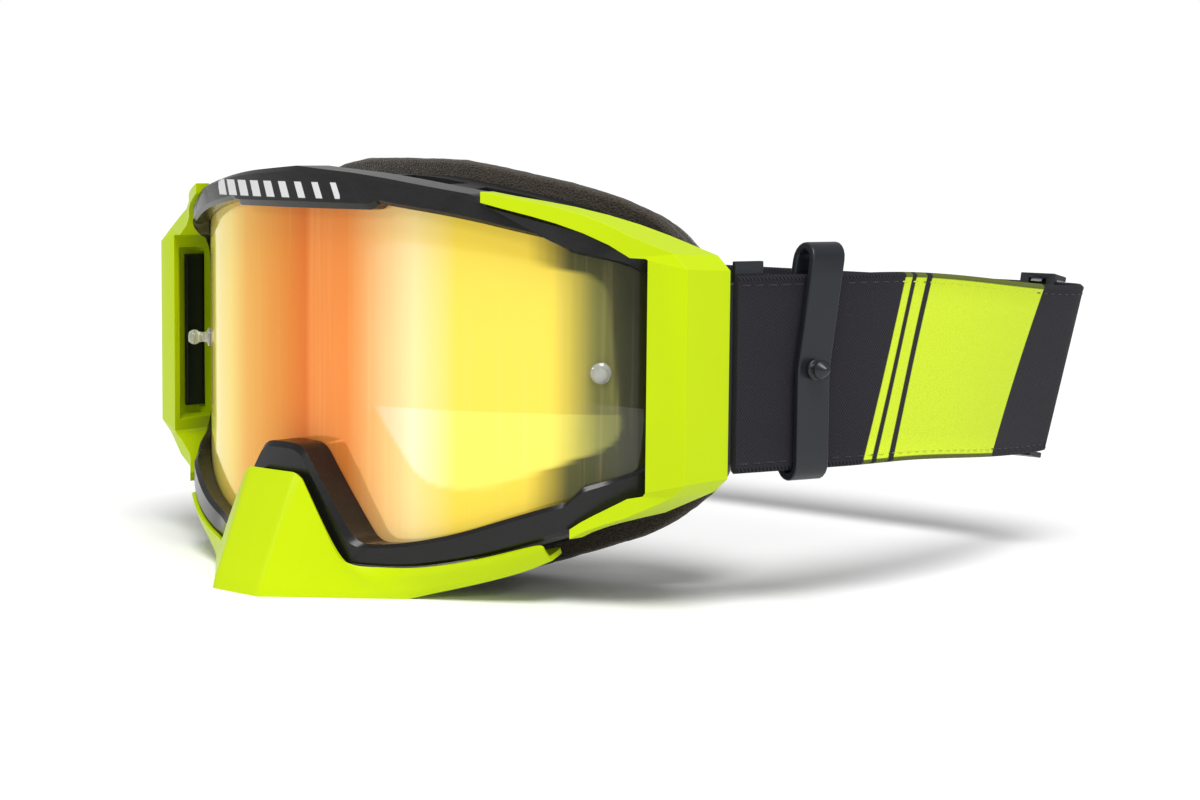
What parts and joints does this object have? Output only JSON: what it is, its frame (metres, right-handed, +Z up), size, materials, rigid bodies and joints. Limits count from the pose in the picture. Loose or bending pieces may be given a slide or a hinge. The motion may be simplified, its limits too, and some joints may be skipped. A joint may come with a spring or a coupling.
{
  "type": "motocross goggles",
  "caption": "Motocross goggles with a wide mirrored lens, neon outriggers and nose guard, layered face foam and a wide elastic strap with slide adjusters.",
  "frame": {"origin": "on the midplane, level with the lens's tear-off pins, where the wearer's face meets the foam", "axes": "+X to the wearer's left, +Y from the lens towards the wearer's face and the back of the head, +Z up"},
  "size_m": [0.2318, 0.2212, 0.108],
  "materials": {
    "rim": "gloss black, moulded",
    "frame": "satin black, moulded, flexible",
    "neon": "satin fluorescent yellow",
    "lens": "mirror coating over a smoke tint, polycarbonate",
    "pin": "clear, moulded",
    "foam": "open-cell polyurethane foam",
    "fleece": "brushed fleece facing",
    "webbing": "woven elastic",
    "clip": "satin black, moulded",
    "keeper": "satin blue-black, moulded"
  },
  "bodies": {
    "frame": {"outer_frame": "rim", "face_frame": "frame", "lens": "lens", "tear_off_pin_left": "pin", "tear_off_pin_right": "pin", "outrigger_left": "neon", "outrigger_right": "neon", "foam_base": "foam", "foam_middle": "foam", "foam_face": "fleece", "vent_foam_top": "foam", "vent_foam_left": "foam", "vent_foam_right": "foam", "strap_back": "webbing"},
    "nose_guard": {"nose_guard": "neon"},
    "strap_left": {"strap_clip_left": "clip", "strap_left": "webbing"},
    "strap_right": {"strap_clip_right": "clip", "strap_right": "webbing"},
    "keeper": {"strap_keeper": "keeper", "tear_off_post": "keeper"},
    "adjuster_left": {"adjuster_left": "clip"},
    "adjuster_right": {"adjuster_right": "clip"}
  },
  "joints": [
    {"name": "nose_guard_release", "type": "slide", "parent": "frame", "child": "nose_guard", "axis": [0, -1, 0], "range_m": [0, 0.012]},
    {"name": "strap_left_swing", "type": "hinge", "parent": "frame", "child": "strap_left", "pos_m": [0.0983, -0.0043, 0.0003], "axis": [0, 0, -1], "range_deg": [-4, 14], "deforming": ["strap_back"]},
    {"name": "strap_right_swing", "type": "hinge", "parent": "frame", "child": "strap_right", "pos_m": [-0.0983, -0.0043, 0.0003], "axis": [0, 0, 1], "range_deg": [-4, 14], "deforming": ["strap_back"]},
    {"name": "keeper_slide", "type": "slide", "parent": "strap_left", "child": "keeper", "axis": [0.2643, 0.9644, 0], "range_m": [-0.006, 0.011]},
    {"name": "adjuster_left_slide", "type": "slide", "parent": "strap_left", "child": "adjuster_left", "axis": [-1, 0, 0], "range_m": [0, 0.04]},
    {"name": "adjuster_right_slide", "type": "slide", "parent": "strap_right", "child": "adjuster_right", "axis": [1, 0, 0], "range_m": [0, 0.04]}
  ]
}
